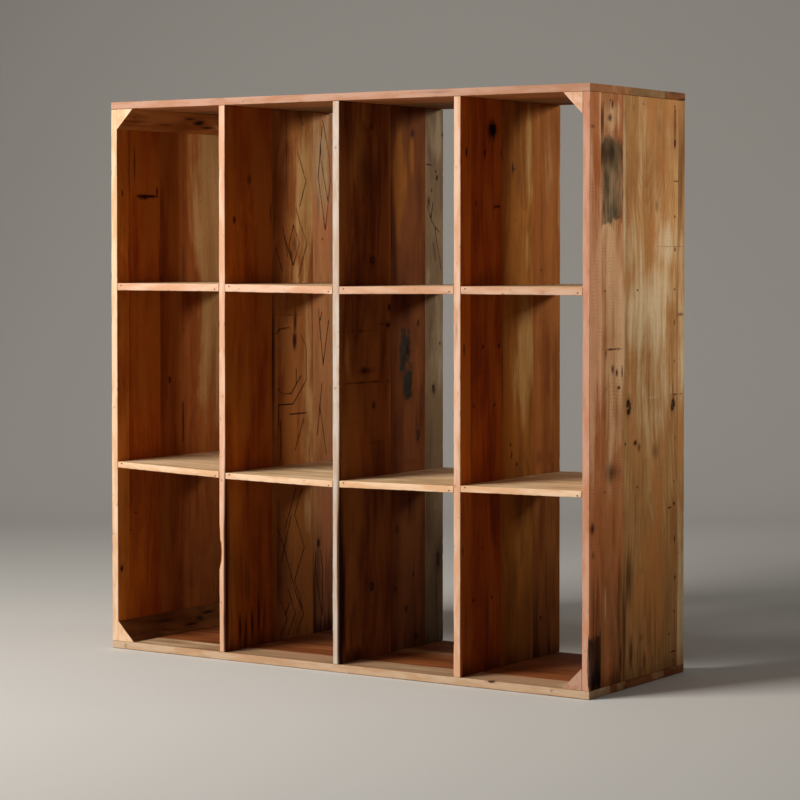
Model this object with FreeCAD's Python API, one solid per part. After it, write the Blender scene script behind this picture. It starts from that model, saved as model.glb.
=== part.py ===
"""Open-backed cubby bookcase of reclaimed softwood boards: four columns by three rows.

Every panel is glued up edge to edge from boards of different widths. Two side panels and
three dividers stand between a top and a bottom panel that run over their ends. Eight short
shelves are butted between the uprights and toe-nailed through their front and back edges.
A triangular corner block runs the full depth in each of the four outer corners.

Millimetres. +Z is up, the open front faces -Y, and the origin is on the floor, at the
middle of the footprint. Depths named "from the front" are measured back from the front edge.
"""

import FreeCAD, Part
import math
import os
from FreeCAD import Vector

# Driving dimensions of the case
WIDTH = 1372.0
HEIGHT = 1372.0
DEPTH = 460.0
BOARD = 19.0
COLUMNS = 4
BLOCK_LEG = 50.0

# Width of each board in a panel, from the front board to the back one; the last takes the rest
LEFT_SIDE_BOARDS = [46, 126, 90]
RIGHT_SIDE_BOARDS = [55, 100, 271]
DIVIDER_BOARDS = [[195, 176], [222, 154], [46, 135, 148]]
TOP_BOARDS = [196, 161]
BOTTOM_BOARDS = [97, 136, 142]
SHELF_BOARDS = {
    "upper": [[152, 170], [128, 175], [165, 140], [140, 150]],
    "lower": [[118, 190], [172, 140], [146, 168], [158, 130]],
}

# The lower shelves are of thinner stock than the rest of the case
SHELF_THICKNESS = {"upper": BOARD, "lower": 16.5}

# Height of each shelf's upper face at its left and right end; they were nailed up by hand
SHELF_TOPS = {
    "upper": [(919, 919), (919, 916), (916, 919), (919, 919)],
    "lower": [(471, 461), (459, 455), (456, 460), (462, 466)],
}

# Lost-head wire nails: length, shank radius, head radius
CASE_NAIL = (60.0, 1.5, 2.4)
SHELF_NAIL = (55.0, 1.5, 2.4)
BLOCK_NAIL = (45.0, 1.3, 2.1)
TOE_NAIL = (40.0, 1.0, 1.7)
NAIL_HEAD_HEIGHT = 1.6
NAIL_POINT_LENGTH = 5.0

# Where the nails go
CASE_NAIL_DEPTHS = [28, 120, 290, 445]
SHELF_NAIL_DEPTHS = [72, 225, 408]
BLOCK_NAIL_DEPTHS = [95, 250, 404]
BLOCK_NAIL_INSET = 16.0
TOE_NAIL_INSET = 12.0
TOE_NAIL_TURN = 35.0
TOE_NAIL_OFFSET = 3.5
TOE_NAIL_PROUD = 1.3

# Wane on the front left corner of the first divider: height, depth of the scoop, its radius
WANE_SCOOPS = [(262.0, 4.5, 200.0), (303.0, 2.0, 300.0)]

LEFT = -WIDTH / 2
FRONT = -DEPTH / 2
UPRIGHT_HEIGHT = HEIGHT - 2 * BOARD
BAY = (WIDTH - (COLUMNS + 1) * BOARD) / COLUMNS


def upright_left(number):
    """Left face of an upright: 0 is the left side panel and COLUMNS is the right one."""
    return LEFT + number * (BAY + BOARD)


def strips(widths):
    """Start and width of each board of a panel, measured from the front."""
    placed = []
    start = 0.0
    for width in widths + [DEPTH - sum(widths)]:
        placed.append((start, width))
        start += width
    return placed


def vertical_panel(name, left, widths):
    """The boards of a side panel or divider, which stand between the bottom and the top."""
    boards = {}
    for number, (start, width) in enumerate(strips(widths), 1):
        corner = Vector(left, FRONT + start, BOARD)
        boards[f"{name}_board_{number}"] = Part.makeBox(BOARD, width, UPRIGHT_HEIGHT, corner)
    return boards


def horizontal_panel(name, bottom, widths):
    """The boards of the top or bottom panel, which run the whole width."""
    boards = {}
    for number, (start, width) in enumerate(strips(widths), 1):
        corner = Vector(LEFT, FRONT + start, bottom)
        boards[f"{name}_board_{number}"] = Part.makeBox(WIDTH, width, BOARD, corner)
    return boards


def shelf(level, column):
    """The boards of one shelf, with plumb ends, as level as its two end heights make it."""
    left = upright_left(column) + BOARD
    right = left + BAY
    top_left, top_right = SHELF_TOPS[level][column]
    thickness = SHELF_THICKNESS[level]
    boards = {}
    for number, (start, width) in enumerate(strips(SHELF_BOARDS[level][column]), 1):
        y = FRONT + start
        outline = [
            Vector(left, y, top_left - thickness),
            Vector(right, y, top_right - thickness),
            Vector(right, y, top_right),
            Vector(left, y, top_left),
        ]
        face = Part.Face(Part.makePolygon(outline + outline[:1]))
        boards[f"{level}_shelf_{column + 1}_board_{number}"] = face.extrude(Vector(0, width, 0))
    return boards


def corner_block(side, up):
    """A square batten sawn along its diagonal: side is -1 left or 1 right, up is -1 or 1."""
    x = side * (WIDTH / 2 - BOARD)
    z = HEIGHT - BOARD if up > 0 else BOARD
    outline = [
        Vector(x, FRONT, z),
        Vector(x - side * BLOCK_LEG, FRONT, z),
        Vector(x, FRONT, z - up * BLOCK_LEG),
    ]
    return Part.Face(Part.makePolygon(outline + outline[:1])).extrude(Vector(0, DEPTH, 0))


def nail(kind, head, direction):
    """A lost-head nail with its head flush at the point head, driven along direction."""
    length, shank, head_radius = kind
    profile = [
        Vector(0, 0, 0),
        Vector(head_radius, 0, 0),
        Vector(head_radius, 0, NAIL_HEAD_HEIGHT),
        Vector(shank, 0, NAIL_HEAD_HEIGHT * 2),
        Vector(shank, 0, length - NAIL_POINT_LENGTH),
        Vector(0, 0, length),
    ]
    face = Part.Face(Part.makePolygon(profile + profile[:1]))
    solid = face.revolve(Vector(0, 0, 0), Vector(0, 0, 1), 360)
    solid.Placement = FreeCAD.Placement(head, FreeCAD.Rotation(Vector(0, 0, 1), direction))
    return solid


def case_nails(surface, direction):
    """Nails through the top or bottom panel into the end grain of every upright."""
    return [
        nail(CASE_NAIL, Vector(upright_left(number) + BOARD / 2, FRONT + depth, surface), direction)
        for number in range(COLUMNS + 1)
        for depth in CASE_NAIL_DEPTHS
    ]


def shelf_end_height(level, column, right_end):
    """Height of the middle of a shelf's thickness at its left or right end."""
    return SHELF_TOPS[level][column][right_end] - SHELF_THICKNESS[level] / 2


def side_panel_nails(side):
    """Nails through a side panel into the ends of its two shelves: side is -1 or 1."""
    column = 0 if side < 0 else COLUMNS - 1
    made = []
    for level in SHELF_TOPS:
        z = shelf_end_height(level, column, int(side > 0))
        for depth in SHELF_NAIL_DEPTHS:
            head = Vector(side * WIDTH / 2, FRONT + depth, z)
            made.append(nail(SHELF_NAIL, head, Vector(-side, 0, 0)))
    return made


def corner_block_nails():
    """Nails through the side panels into the corner blocks."""
    made = []
    for side in (-1, 1):
        for z in (BOARD + BLOCK_NAIL_INSET, HEIGHT - BOARD - BLOCK_NAIL_INSET):
            for depth in BLOCK_NAIL_DEPTHS:
                head = Vector(side * WIDTH / 2, FRONT + depth, z)
                made.append(nail(BLOCK_NAIL, head, Vector(-side, 0, 0)))
    return made


def toe_nails(level):
    """Slanting nails through a shelf's front and back edges, with heads filed flush to them."""
    turn = math.radians(TOE_NAIL_TURN)
    case = Part.makeBox(WIDTH, DEPTH, HEIGHT, Vector(LEFT, FRONT, 0))
    made = []
    for column in range(COLUMNS):
        left = upright_left(column) + BOARD
        for side, x in ((-1, left + TOE_NAIL_INSET), (1, left + BAY - TOE_NAIL_INSET)):
            z = shelf_end_height(level, column, int(side > 0)) - side * TOE_NAIL_OFFSET
            for y, back in ((FRONT, 1), (FRONT + DEPTH, -1)):
                direction = Vector(side * math.sin(turn), back * math.cos(turn), 0)
                head = Vector(x, y, z) - direction * TOE_NAIL_PROUD
                made.append(nail(TOE_NAIL, head, direction).common(case))
    return made


def wane_scoop(height, depth, radius):
    """A round tool that takes the bark edge off the front left corner of the first divider."""
    outward = Vector(-1, -1, 0).normalize()
    along = Vector(1, -1, 0).normalize()
    corner = Vector(upright_left(1), FRONT, height)
    reach = 4 * BOARD
    start = corner + outward * (radius - depth) - along * reach
    return Part.makeCylinder(radius, 2 * reach, start, along)


def boxes_meet(first, second):
    """Whether two bounding boxes overlap."""
    return first.BoundBox.intersect(second.BoundBox)


def main():
    wood = {}
    wood.update(vertical_panel("left_side", upright_left(0), LEFT_SIDE_BOARDS))
    for number, widths in enumerate(DIVIDER_BOARDS, 1):
        wood.update(vertical_panel(f"divider_{number}", upright_left(number), widths))
    wood.update(vertical_panel("right_side", upright_left(COLUMNS), RIGHT_SIDE_BOARDS))
    wood.update(horizontal_panel("top", HEIGHT - BOARD, TOP_BOARDS))
    wood.update(horizontal_panel("bottom", 0.0, BOTTOM_BOARDS))
    for level in SHELF_TOPS:
        for column in range(COLUMNS):
            wood.update(shelf(level, column))
    wood["corner_block_top_left"] = corner_block(-1, 1)
    wood["corner_block_top_right"] = corner_block(1, 1)
    wood["corner_block_bottom_left"] = corner_block(-1, -1)
    wood["corner_block_bottom_right"] = corner_block(1, -1)
    for scoop in WANE_SCOOPS:
        wood["divider_1_board_1"] = wood["divider_1_board_1"].cut(wane_scoop(*scoop))

    nails = {
        "top_panel_nails": case_nails(HEIGHT, Vector(0, 0, -1)),
        "bottom_panel_nails": case_nails(0.0, Vector(0, 0, 1)),
        "left_side_nails": side_panel_nails(-1),
        "right_side_nails": side_panel_nails(1),
        "corner_block_nails": corner_block_nails(),
        "upper_shelf_toe_nails": toe_nails("upper"),
        "lower_shelf_toe_nails": toe_nails("lower"),
    }

    os.makedirs("parts", exist_ok=True)
    every_nail = [one for group in nails.values() for one in group]
    for name, board in wood.items():
        through = [one for one in every_nail if boxes_meet(board, one)]
        if through:
            board = board.cut(through)
        if len(board.Solids) != 1 or not board.isValid():
            raise RuntimeError(f"{name} is not one valid solid")
        board.Solids[0].exportStep(f"parts/{name}.step")
    for name, group in nails.items():
        Part.makeCompound(group).exportStep(f"parts/{name}.step")


main()
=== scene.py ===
"""An open-backed cubby bookcase glued and nailed up from reclaimed softwood boards.

Every board is a closed surface worked out on a grid, in metres, in the case's own frame:
X to the right, Y to the back, Z up, with the origin on the floor. Places on a board are
given in millimetres, back from the front edges and up from the floor or along from the
left end. They are on the board's shown face: the right-hand one, or the upper one, or the
lower one of the top panel. The face behind it gets marks of its own from a seeded draw.
"""

import bisect
import math
import zlib

import bpy
import numpy as np
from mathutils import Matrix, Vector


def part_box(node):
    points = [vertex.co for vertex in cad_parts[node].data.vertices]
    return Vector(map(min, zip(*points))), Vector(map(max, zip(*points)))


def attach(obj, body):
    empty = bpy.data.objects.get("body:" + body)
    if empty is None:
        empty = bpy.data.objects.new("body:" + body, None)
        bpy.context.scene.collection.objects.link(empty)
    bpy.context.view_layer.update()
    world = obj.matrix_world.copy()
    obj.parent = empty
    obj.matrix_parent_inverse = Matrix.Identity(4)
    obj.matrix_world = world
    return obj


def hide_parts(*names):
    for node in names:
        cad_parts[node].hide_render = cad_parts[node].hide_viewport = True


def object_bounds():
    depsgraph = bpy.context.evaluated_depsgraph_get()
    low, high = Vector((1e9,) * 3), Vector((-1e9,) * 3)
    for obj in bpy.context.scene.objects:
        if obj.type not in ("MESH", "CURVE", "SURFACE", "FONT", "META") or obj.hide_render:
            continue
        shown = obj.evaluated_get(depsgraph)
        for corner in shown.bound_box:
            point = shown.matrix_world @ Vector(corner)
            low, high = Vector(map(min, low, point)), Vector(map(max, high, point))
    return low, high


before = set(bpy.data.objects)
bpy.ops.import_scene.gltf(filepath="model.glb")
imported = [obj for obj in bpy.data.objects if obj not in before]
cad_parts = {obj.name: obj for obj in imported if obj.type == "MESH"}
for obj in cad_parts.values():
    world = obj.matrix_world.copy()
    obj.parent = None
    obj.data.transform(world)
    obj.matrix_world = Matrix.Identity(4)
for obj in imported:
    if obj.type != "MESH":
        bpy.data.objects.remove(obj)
cad_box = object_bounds()

# ---------------------------------------------------------------------------------------
# The studio: a pale seamless floor and backdrop, a broad key light high on the left of the
# camera, a window-like light low on the right behind the case, and a long lens.

MM = 0.001
CAMERA_PLACE = (3.4705, -5.2159, 1.0025)
CAMERA_TURN = 0.58307
CAMERA_DROP = 0.02738
CAMERA_LENS = 115.63
CAMERA_SHIFT = -0.1

SWEEP_HALF_WIDTH = 18.0
SWEEP_FRONT = -14.0
SWEEP_BACK = 3.2
SWEEP_RADIUS = 1.5
SWEEP_TOP = 6.0
SWEEP_COLOUR = (0.66, 0.64, 0.60, 1)


def new_mesh(name, points, quads):
    """A smooth object at the origin whose mesh has these corners and four-sided faces."""
    mesh = bpy.data.meshes.new(name)
    mesh.from_pydata(points, [], quads.tolist())
    mesh.polygons.foreach_set("use_smooth", np.ones(len(quads), bool))
    mesh.update()
    piece = bpy.data.objects.new(name, mesh)
    bpy.context.scene.collection.objects.link(piece)
    return piece


def backdrop_sweep():
    """A flat floor that curls up into a wall: a straight line, a quarter circle of
    SWEEP_RADIUS and a straight line, drawn out along the camera's own sideways direction.
    It is clear from behind, so that it never hides the back of the case."""
    turn = np.linspace(0, math.pi / 2, 17)
    curl = SWEEP_BACK + SWEEP_RADIUS * np.sin(turn)
    back = np.concatenate([[SWEEP_FRONT], curl, [SWEEP_BACK + SWEEP_RADIUS]])
    up = np.concatenate([[0.0], SWEEP_RADIUS * (1 - np.cos(turn)), [SWEEP_TOP]]) - 0.5 * MM
    side = np.array([-SWEEP_HALF_WIDTH, SWEEP_HALF_WIDTH])
    sideways, depth = np.meshgrid(side, back, indexing="ij")
    height = np.broadcast_to(up, depth.shape)
    x = sideways * math.cos(CAMERA_TURN) - depth * math.sin(CAMERA_TURN)
    y = sideways * math.sin(CAMERA_TURN) + depth * math.cos(CAMERA_TURN)
    points = np.stack([x, y, height], -1).reshape(-1, 3)
    number = np.arange(len(points)).reshape(depth.shape)
    quads = np.stack([number[:-1, :-1], number[1:, :-1], number[1:, 1:], number[:-1, 1:]], -1)
    sweep = new_mesh("studio_sweep", points, quads.reshape(-1, 4))
    paper = bpy.data.materials.new("studio_paper")
    paper.use_nodes = True
    shader = paper.node_tree.nodes["Principled BSDF"]
    shader.inputs["Base Color"].default_value = SWEEP_COLOUR
    shader.inputs["Roughness"].default_value = 0.9
    behind = paper.node_tree.nodes.new("ShaderNodeNewGeometry").outputs["Backfacing"]
    clear = paper.node_tree.nodes.new("ShaderNodeBsdfTransparent")
    either = paper.node_tree.nodes.new("ShaderNodeMixShader")
    ends = paper.node_tree.nodes["Material Output"].inputs["Surface"]
    for source, target in ((behind, either.inputs[0]), (shader.outputs[0], either.inputs[1]),
                           (clear.outputs[0], either.inputs[2]), (either.outputs[0], ends)):
        paper.node_tree.links.new(source, target)
    sweep.data.materials.append(paper)
    return sweep


def soft_light(name, place, aim, width, height, watts, colour, spread):
    """A rectangular lamp at place that faces aim, with its spread in degrees."""
    lamp = bpy.data.lights.new(name, "AREA")
    lamp.shape = "RECTANGLE"
    lamp.size, lamp.size_y = width, height
    lamp.energy = watts
    lamp.color = colour
    lamp.spread = math.radians(spread)
    holder = bpy.data.objects.new(name, lamp)
    away = np.array(place) - np.array(aim)
    across = math.hypot(away[0], away[1])
    holder.rotation_euler = (math.atan2(across, away[2]), 0, math.atan2(away[1], away[0]) + math.pi / 2)
    holder.location = place
    holder.visible_camera = False
    bpy.context.scene.collection.objects.link(holder)


scene = bpy.context.scene
scene.view_settings.view_transform = "Standard"
world = bpy.data.worlds.new("studio_air")
world.use_nodes = True
world.node_tree.nodes["Background"].inputs["Color"].default_value = (1, 0.97, 0.93, 1)
world.node_tree.nodes["Background"].inputs["Strength"].default_value = 0.15
scene.world = world

lens = bpy.data.cameras.new("studio_camera")
lens.lens = CAMERA_LENS
lens.shift_y = CAMERA_SHIFT
camera = bpy.data.objects.new("studio_camera", lens)
camera.location = CAMERA_PLACE
camera.rotation_euler = (math.pi / 2 - CAMERA_DROP, 0, CAMERA_TURN)
scene.collection.objects.link(camera)
scene.camera = camera

backdrop_sweep()
soft_light("key_light", (-2.0, -3.7, 3.2), (0, 0, 0.9), 2.2, 1.6, 105, (1, 0.97, 0.93), 110)
soft_light("window_light", (4.6, 3.1, 2.0), (0, 0, 1.12), 0.8, 0.8, 3.3, (1, 0.98, 0.95), 23)

# ---------------------------------------------------------------------------------------
# Left side panel: four old boards glued edge to edge and standing on the bottom panel.
# How any board of the case is shaped, marked and coloured is worked out here first. Board
# lengths are in millimetres, and MM turns them into metres.

LEFT, FRONT, FLOOR = cad_box[0]
BACK = cad_box[1][1]
GRID_PITCH = 6.4
CLOSEST_LINES = 1.7
EDGE_ROUND = 1.3
GLUED_ROUND = 0.45
FRONT_BOARD = (EDGE_ROUND, GLUED_ROUND)
BACK_BOARD = (GLUED_ROUND, EDGE_ROUND)
DEEPEST_MARK = 4.0
ANOTHER_BOARD = 7.3
TOOTH_PITCH = 7.5 * MM
PATCH_REACH = 20.0
UNMARKED = {"knot": 4.0, "dark": 0.0, "scratch": 9.0, "stain_and_shade": 0.0, "pale": 0.0,
            "patch": -PATCH_REACH, "figure": 0.0}


def ease(low, high, value):
    """An S-curve that is 0 below low and 1 above high."""
    share = np.clip((value - low) / (high - low), 0, 1)
    return share * share * (3 - 2 * share)


def unevenness(draw, first, second, pitch):
    """From about -1 to 1: the mean of eight sine waves of random direction and phase, with
    wavelengths from pitch to four times pitch."""
    turn = draw.uniform(0, math.tau, 8)
    phase = draw.uniform(0, math.tau, 8)
    number = math.tau / (pitch * draw.uniform(1, 4, 8))
    along = first[..., None] * np.cos(turn) + second[..., None] * np.sin(turn)
    return 1.8 * np.sin(along * number + phase).mean(-1)


def grid_lines(low, high, pitch, round_over, spots=()):
    """Places of the grid lines between two faces: five close ones over each arris, up to
    five over every small spot (centre and half-width), and even ones where these leave room."""
    near = round_over * np.array([0, 0.3, 0.65, 1, 1.6])
    count = max(2, round((high - low) / pitch))
    even = np.linspace(low + near[-1], high - near[-1], count + 1)
    wanted = [(centre + half * part, CLOSEST_LINES * MM)
              for part in (0, -0.85, 0.85, -1.7, 1.7) for centre, half in spots]
    wanted += [(place, 0.45 * pitch) for place in even[1:-1]]
    inner = [even[0], even[-1]]
    for place, room in wanted:
        at = bisect.bisect(inner, place)
        if 0 < at < len(inner) and min(place - inner[at - 1], inner[at] - place) > room:
            inner.insert(at, place)
    return np.unique(np.concatenate([low + near[:-1], inner, high - near[:-1]]))


def box_surface(lines):
    """Corners and outward quads of a closed box on three sets of grid lines: the outer
    shell of the block of grid points, numbered in order."""
    shape = tuple(len(axis) for axis in lines)
    shell = np.ones(shape, bool)
    shell[1:-1, 1:-1, 1:-1] = False
    number = np.full(shape, -1)
    number[shell] = np.arange(shell.sum())
    points = np.stack(np.meshgrid(*lines, indexing="ij"), -1)[shell]
    quads = []
    for axis in range(3):
        for end in (0, -1):
            sheet = number.take(end, axis)
            quad = np.stack([sheet[:-1, :-1], sheet[1:, :-1], sheet[1:, 1:], sheet[:-1, 1:]], -1)
            outward = (axis == 1) == (end == 0)
            quads.append((quad if outward else quad[..., ::-1]).reshape(-1, 4))
    return points, np.concatenate(quads)


def rounded(points, low, high, radius):
    """A box surface with its arrises rounded: every point outside the inner box, which is a
    radius smaller each way, is pulled to within that radius of it."""
    inner = np.clip(points, low + radius, high - radius)
    reach = points - inner
    length = np.linalg.norm(reach, axis=1, keepdims=True)
    return inner + reach * np.minimum(1, radius / np.maximum(length, 1e-9))


def distance_to_line(u, v, line):
    """The distance from each point to a straight scratch: the nearest point on a segment
    is its start plus a clamped share of its run."""
    run, rise = line[2] - line[0], line[3] - line[1]
    share = np.clip(((u - line[0]) * run + (v - line[1]) * rise) / (run**2 + rise**2), 0, 1)
    return np.hypot(u - line[0] - share * run, v - line[1] - share * rise)


def marked(u, v, knots=(), eyes=(), holes=(), cracks=(), scratches=(), stains=(), pales=(),
           patches=(), flames=()):
    """What each kind of mark amounts to at points (u, v) of a face, in mm, and how deep the
    face is sunk there. Round marks are functions of rho, the distance from the centre as a
    share of the mark's half-width and half-height."""
    field = {name: np.full(len(u), value) for name, value in UNMARKED.items()}
    sunk = np.zeros(len(u))
    for ringed, marks in ((False, knots), (True, eyes)):
        for depth, place, wide, tall in marks:
            rho = np.hypot((u - depth) / wide, (v - place) / tall)
            field["knot"] = np.minimum(field["knot"], 0.6 + np.abs(rho - 0.8) if ringed else rho)
            sunk += 0.4 * rho**2 * np.exp(-(rho**2)) + 0.5 * np.exp(-(((rho - 0.95) / 0.2) ** 2))
    for depth, place, wide, tall in holes:
        rho = np.hypot((u - depth) / wide, (v - place) / tall)
        sunk += 2.2 * (1 - ease(0.45, 1.0, rho))
        field["dark"] = np.maximum(field["dark"], 1 - ease(0.7, 1.7, rho))
    for depth, start, end, wide in cracks:
        length = end - start
        rho = np.abs(u - depth) / wide
        parted = ease(0, 0.15, (v - start) / length) * ease(0, 0.15, (end - v) / length)
        sunk += 2.4 * parted * np.clip(1 - rho, 0, 1)
        field["dark"] = np.maximum(field["dark"], parted * (1 - ease(0.6, 1.5, rho)))
    for line in scratches:
        field["scratch"] = np.minimum(field["scratch"], distance_to_line(u, v, line))
    sunk += 0.45 * (1 - ease(0.4, 1.7, field["scratch"]))
    for name, power, marks in (("stain_and_shade", 2, stains), ("pale", 2.6, pales)):
        for depth, place, wide, tall, strength in marks:
            rho = np.hypot((u - depth) / wide, (v - place) / tall)
            field[name] = np.maximum(field[name], strength * np.exp(-(rho**power)))
    for depth0, depth1, place0, place1 in patches:
        across = np.minimum(u - depth0, depth1 - u)
        along = np.minimum(v - place0, place1 - v) / 2.5
        within = across + along - np.hypot(across, along)
        field["patch"] = np.maximum(field["patch"], np.clip(within, -PATCH_REACH, PATCH_REACH))
    for depth, place, tall, shift in flames:
        field["figure"] += shift * MM * np.tanh((v - place) / tall)
    return field, sunk


def drawn_marks(draw, u0, u1, v0, v1):
    """Knots, nail holes and stains for a face that nothing is said about: about one of each
    on every 300 x 200 mm of it."""
    count = max(1, round((u1 - u0) * (v1 - v0) / 60000))
    spots = draw.uniform([u0 + 9, v0 + 25], [u1 - 9, v1 - 25], (3, count, 2))
    sizes = draw.uniform(0.6, 1.5, (3, count))
    knots = [(u, v, 6.5 * s, 8 * s) for (u, v), s in zip(spots[0], sizes[0])]
    holes = [(u, v, 1.5 * s, 2 * s) for (u, v), s in zip(spots[1], sizes[1])]
    stains = [(u, v, 5 * s, 18 * s, 0.5) for (u, v), s in zip(spots[1], sizes[1])]
    stains += [(u, v, 30 * s, 70 * s, 0.35) for (u, v), s in zip(spots[2], sizes[2])]
    pales = [(u, v, 60 * s, 300 * s, 0.7) for (u, v), s in zip(spots[2][::-1], sizes[2])]
    return {"knots": knots, "holes": holes, "stains": stains, "pales": pales}


def small_spots(marks, pitch):
    """Centres and half-widths, across and along, of the marks that need closer grid lines."""
    across, along = [], []
    for name in ("knots", "eyes", "holes", "stains"):
        for mark in marks.get(name, ()):
            across.append((mark[0], mark[2]))
            along.append((mark[1], mark[3]))
    across += [(mark[0], mark[3]) for mark in marks.get("cracks", ())]
    for line in marks.get("scratches", ()):
        across += [(line[0], 0.9)] * (line[0] == line[2])
        along += [(line[1], 0.9)] * (line[1] == line[3])
    return [[spot for spot in spots if spot[1] < pitch] for spots in (across, along)]


def give_fields(piece, field):
    """Stores each kind of mark on the piece's points for its material to read."""
    for name in UNMARKED:
        layer = piece.data.attributes.new(name, "FLOAT", "POINT")
        layer.data.foreach_set("value", field[name].astype(np.float32))


def place_piece(piece, node, finish):
    """Puts a finished piece in the place of its CAD node."""
    piece.data.materials.append(finish)
    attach(piece, "root")
    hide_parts(node)


def old_board(node, finish, pitch=GRID_PITCH, rounds=(GLUED_ROUND, GLUED_ROUND), short=0.0, bow=0.0,
              show=1, wane=(), foot_grime_and_shade=0.0, **marks):
    """One reclaimed board in place of its CAD node.

    A box surface has its arrises rounded, its wide faces sunk by the sum of a planing wave,
    a cup and their marks, and its length sheared to a sloping shelf's line. The marks go on
    the shown face, which show says is the one towards + or - X or Z. Short is taken off the
    right-hand end, bow is how far the front edge bends along X, the lower-end argument says how
    much that end darkens towards the floor, part grime and part painted shade, and each wane is
    a place up the front corner, a depth and a spread."""
    low, high = (np.array(corner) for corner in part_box(node))
    corners = np.empty(len(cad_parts[node].data.vertices) * 3, np.float32)
    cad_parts[node].data.vertices.foreach_get("co", corners)
    corners = corners.reshape(-1, 3)
    grain = 2 if high[2] - low[2] > 0.5 else 0
    through = 2 - grain
    draw = np.random.default_rng(zlib.crc32(node.encode()))
    slope = 0.0
    if grain == 0:
        at_left = corners[corners[:, 0] < low[0] + MM, 2]
        at_right = corners[corners[:, 0] > high[0] - MM, 2]
        slope = (at_right.max() - at_left.max()) / (high[0] - low[0])
        low[2], high[2] = at_left.min(), at_left.max()
        high[0] -= short * MM
    start = FLOOR if grain == 2 else LEFT
    near, far = (low[1] - FRONT) / MM, (high[1] - FRONT) / MM
    lower, upper = (low[grain] - start) / MM, (high[grain] - start) / MM
    behind = drawn_marks(draw, near, far, lower, upper)

    half = (high[through] - low[through]) / 2
    middle = (high[through] + low[through]) / 2
    spots = [small_spots(each, pitch) for each in (marks, behind)]
    across_spots, along_spots = ([*spots[0][n], *spots[1][n]] for n in (0, 1))
    widest = max(rounds) * MM
    lines = [None, None, None]
    lines[grain] = grid_lines(low[grain], high[grain], pitch * MM, widest,
                              [(start + c * MM, h * MM) for c, h in along_spots])
    lines[1] = grid_lines(low[1], high[1], pitch * MM, widest,
                          [(FRONT + c * MM, h * MM) for c, h in across_spots])
    lines[through] = grid_lines(low[through], high[through], half, widest)
    points, quads = box_surface(lines)

    u = (points[:, 1] - FRONT) / MM
    v = (points[:, grain] - start) / MM
    inside_y = (points[:, 1] - low[1]) / (high[1] - low[1])
    worn = 1 + 0.45 * unevenness(draw, v, u, 60)
    dings = draw.uniform(lower, upper, 9)
    worn = worn + 1.3 * np.exp(-(((v[:, None] - dings) / 7) ** 2)).max(-1)
    radius = (rounds[0] + (rounds[1] - rounds[0]) * ease(0.3, 0.7, inside_y)) * MM * worn
    points = rounded(points, low, high, np.minimum(radius, 0.8 * half)[:, None])

    side = (points[:, through] - middle) / half
    shown = side * show > 0
    field, sunk = marked(u, v, **marks)
    other, other_sunk = marked(u, v, **behind)
    field = {name: np.where(shown, field[name], other[name]) for name in UNMARKED}
    # The lower end darkens towards the floor: part grime and part painted shade, standing in for light
    # that falls off near the floor.
    grime_and_shade = foot_grime_and_shade * (ease(460, 120, v) + 0.7 * ease(75, 0, v)) * ease(2, 14, u)
    field["stain_and_shade"] = np.maximum(field["stain_and_shade"], grime_and_shade)
    sunk = np.where(shown, sunk, other_sunk) + draw.uniform(0.1, 0.4)
    sunk += draw.uniform(0, 0.25) * (2 * inside_y - 1) ** 2
    sunk += 0.14 * (1 + unevenness(draw, u, v * 0.25, 22)) + 0.14 * (1 + unevenness(draw, u, v, 90))
    points[:, through] = middle + half * side * (1 - np.clip(sunk, 0, DEEPEST_MARK) * MM / half)

    if grain == 2:
        height = (v - lower) / (upper - lower)
        points[:, 0] += bow * MM * np.sin(math.pi * height) * ease(0.6, 0, inside_y)
    for place, cut, spread in wane:
        depth = np.maximum(0, cut - (v - place) ** 2 / spread) * MM
        out = (low[0] + FRONT - points[:, 0] - points[:, 1]) / math.sqrt(2) + depth
        points[:, :2] += (np.clip(out, 0, None) * (depth > 0) / math.sqrt(2))[:, None]
    points[:, 2] += slope * (points[:, 0] - low[0])
    front_dent = (0.3 + 0.25 * unevenness(draw, v, v * 0, 35)) * MM
    points[:, 1] += front_dent * ease(4 * MM, 0, points[:, 1] - FRONT)
    points[:, 1] -= front_dent * ease(4 * MM, 0, BACK - points[:, 1])

    points = np.clip(points, *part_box(node))
    piece = new_mesh("worn_" + node, points, quads)
    give_fields(piece, field)
    place_piece(piece, node, finish)


def add(tree, kind, sockets=(), **settings):
    """Adds a shader node. Each named or numbered input takes a value or another's output."""
    made = tree.nodes.new("ShaderNode" + kind)
    for name, value in settings.items():
        setattr(made, name, value)
    for name, value in dict(sockets).items():
        if isinstance(value, bpy.types.NodeSocket):
            tree.links.new(value, made.inputs[name])
        else:
            made.inputs[name].default_value = value
    return made


def maths(how, first, second=0.0, third=0.0):
    """The output of a Math node, put in the tree that its first socket belongs to."""
    tree = next(value.id_data for value in (first, second, third) if hasattr(value, "id_data"))
    return add(tree, "Math", {0: first, 1: second, 2: third}, operation=how).outputs[0]


def times(first, second):
    """The product of two values."""
    return maths("MULTIPLY", first, second)


def fade(value, low, high, start=0.0, end=1.0):
    """An S-curve from start at low to end at high."""
    sockets = {"Value": value, "From Min": low, "From Max": high, "To Min": start, "To Max": end}
    return add(value.id_data, "MapRange", sockets, interpolation_type="SMOOTHSTEP").outputs[0]


def grained(place, across, along, detail=2.0, rough=0.55):
    """Noise of so many waves a metre across the grain and along it."""
    scale = {0: place, 1: (across, across, along)}
    scaled = add(place.id_data, "VectorMath", scale, operation="MULTIPLY").outputs[0]
    sockets = {"Vector": scaled, "Scale": 1.0, "Detail": detail, "Roughness": rough}
    return add(place.id_data, "TexNoise", sockets)


def swing(wave, amount, onto):
    """Adds a noise to a value: onto + amount (wave - 1/2)."""
    return maths("MULTIPLY_ADD", maths("SUBTRACT", wave, 0.5), amount, onto)


def tinted(share, first, second):
    """One colour mixed towards another."""
    return add(share.id_data, "Mix", {0: share, 6: first, 7: second}, data_type="RGBA").outputs[2]


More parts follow.
